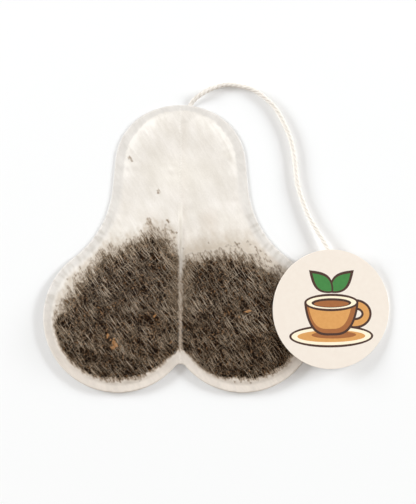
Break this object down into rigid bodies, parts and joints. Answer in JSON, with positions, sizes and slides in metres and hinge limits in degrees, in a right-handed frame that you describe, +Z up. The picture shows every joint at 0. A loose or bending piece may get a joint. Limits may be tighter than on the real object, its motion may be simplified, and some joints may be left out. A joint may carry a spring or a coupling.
{
  "type": "tea bag",
  "caption": "Flat tea bag of see-through filter paper with two rounded lobes full of tea, a narrow rounded top, a cotton string and a round card tag.",
  "frame": {"origin": "on the table under the middle of the bag, string and tag not counted", "axes": "bag lies on its back: +Y towards its narrow top, +X towards the side of the tag, +Z up through the front web"},
  "size_m": [0.0815, 0.0732, 0.0053],
  "materials": {
    "filter_paper": "matt, fibrous, see-through",
    "dry_tea": "matt, dry cut leaf",
    "cotton_string": "matt, twisted",
    "tag_card": "matt, printed with a cup on a saucer under two leaves"
  },
  "bodies": {
    "root": {"paper_front": "filter_paper", "paper_back": "filter_paper", "tea_left": "dry_tea", "tea_right": "dry_tea", "string": "cotton_string", "tag": "tag_card"}
  },
  "joints": []
}
